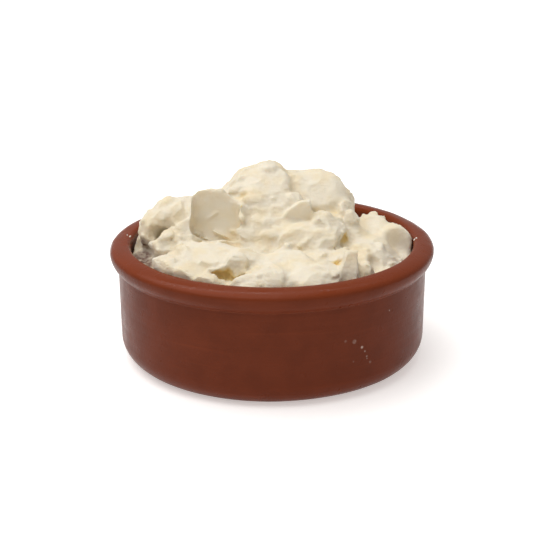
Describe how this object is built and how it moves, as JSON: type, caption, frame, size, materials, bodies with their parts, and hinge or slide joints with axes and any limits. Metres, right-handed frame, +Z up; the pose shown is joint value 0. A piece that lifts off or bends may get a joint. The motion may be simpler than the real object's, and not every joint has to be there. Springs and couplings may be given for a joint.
{
  "type": "bowl of fromage blanc",
  "caption": "Low round glazed clay dish with a rolled rim, heaped above the rim with torn and spooned lumps of fresh white cheese.",
  "frame": {"origin": "middle of the dish's flat foot, on the surface it stands on", "axes": "+Z up, the dish's own axis; -Y towards the low terrace and the broad spoon mark; +X to the right seen from -Y"},
  "size_m": [0.12, 0.12, 0.0702],
  "materials": {
    "glazed_clay": "satin reddish brown glaze",
    "fresh_curd": "moist crumbly cream-white curd, softly matte"
  },
  "bodies": {
    "root": {"dish": "glazed_clay", "fromage_blanc": "fresh_curd"}
  },
  "joints": []
}
